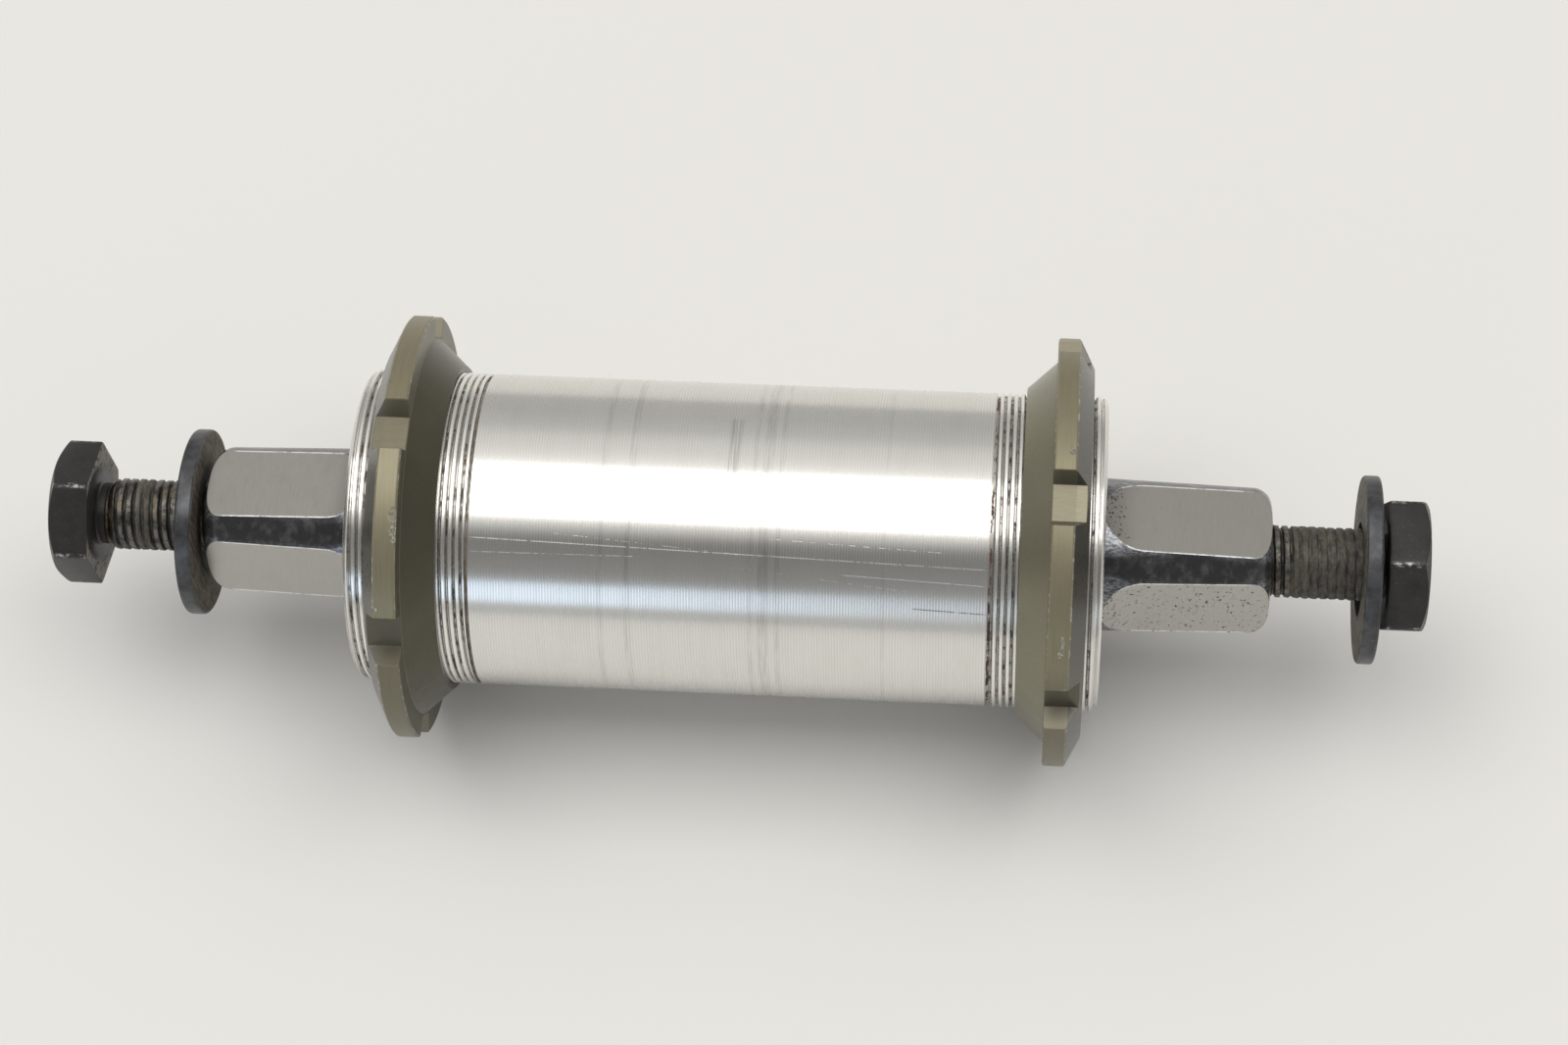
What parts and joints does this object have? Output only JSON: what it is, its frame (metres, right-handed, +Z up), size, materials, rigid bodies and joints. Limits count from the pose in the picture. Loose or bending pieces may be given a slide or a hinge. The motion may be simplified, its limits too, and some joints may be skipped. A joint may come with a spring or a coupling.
{
  "type": "square taper bottom bracket",
  "caption": "Bicycle crank bearing: an axle with square tapered ends turns in a threaded tube held in the frame by two notched conical lock rings.",
  "frame": {"origin": "on the axle's axis, midway between the ends of the sleeve", "axes": "+X along the axle towards its longer, drive side; +Z up as the part lies on its two lock rings; +Y away from the picture's viewer"},
  "size_m": [0.1514, 0.047, 0.047],
  "materials": {
    "turned_aluminium": "bright fine-turned bare aluminium",
    "anodised_ring": "dark olive-grey hard anodised",
    "ground_steel": "ground flats, darker turned corners",
    "black_steel": "worn black oxide on steel",
    "black_washer": "worn black oxide on steel, soiled face",
    "bearing_steel": "polished bearing steel",
    "cage_polymer": "brown polymer",
    "seal_rubber": "matt black rubber",
    "spring_steel": "phosphated spring steel"
  },
  "bodies": {
    "housing": {"body_sleeve": "turned_aluminium", "left_outer_race": "bearing_steel", "left_outer_seal": "seal_rubber", "left_inner_seal": "seal_rubber", "right_outer_race": "bearing_steel", "right_outer_seal": "seal_rubber", "right_inner_seal": "seal_rubber"},
    "axle_group": {"axle": "ground_steel", "left_inner_race": "bearing_steel", "right_inner_race": "bearing_steel", "left_circlip": "spring_steel", "right_circlip": "spring_steel", "left_washer": "black_washer"},
    "left_cage_group": {"left_ball_cage": "cage_polymer", "left_balls": "bearing_steel"},
    "right_cage_group": {"right_ball_cage": "cage_polymer", "right_balls": "bearing_steel"},
    "left_ring": {"left_lock_ring": "anodised_ring"},
    "right_ring": {"right_lock_ring": "anodised_ring"},
    "left_bolt": {"left_axle_bolt": "black_steel"},
    "right_bolt": {"right_axle_bolt": "black_steel", "right_washer": "black_washer"}
  },
  "joints": [
    {"name": "axle_spin", "type": "hinge", "parent": "housing", "child": "axle_group", "pos_m": [0, 0, 0], "axis": [1, 0, 0], "continuous": true},
    {"name": "left_cage_spin", "type": "hinge", "parent": "housing", "child": "left_cage_group", "pos_m": [-0.0345, 0, 0], "axis": [1, 0, 0], "continuous": true},
    {"name": "right_cage_spin", "type": "hinge", "parent": "housing", "child": "right_cage_group", "pos_m": [0.0345, 0, 0], "axis": [1, 0, 0], "continuous": true},
    {"name": "left_ring_slide", "type": "slide", "parent": "housing", "child": "left_ring", "axis": [-1, 0, 0], "range_m": [-0.0032, 0.07]},
    {"name": "right_ring_slide", "type": "slide", "parent": "housing", "child": "right_ring", "axis": [1, 0, 0], "range_m": [-0.0032, 0.07]},
    {"name": "left_bolt_slide", "type": "slide", "parent": "axle_group", "child": "left_bolt", "axis": [-1, 0, 0], "range_m": [-0.0098, 0.007]},
    {"name": "right_bolt_slide", "type": "slide", "parent": "axle_group", "child": "right_bolt", "axis": [1, 0, 0], "range_m": [-0.0098, 0.007]}
  ],
  "couplings": [
    {"joint": "left_cage_spin", "follows": "axle_spin", "ratio": 0.4255},
    {"joint": "right_cage_spin", "follows": "axle_spin", "ratio": 0.4255}
  ]
}
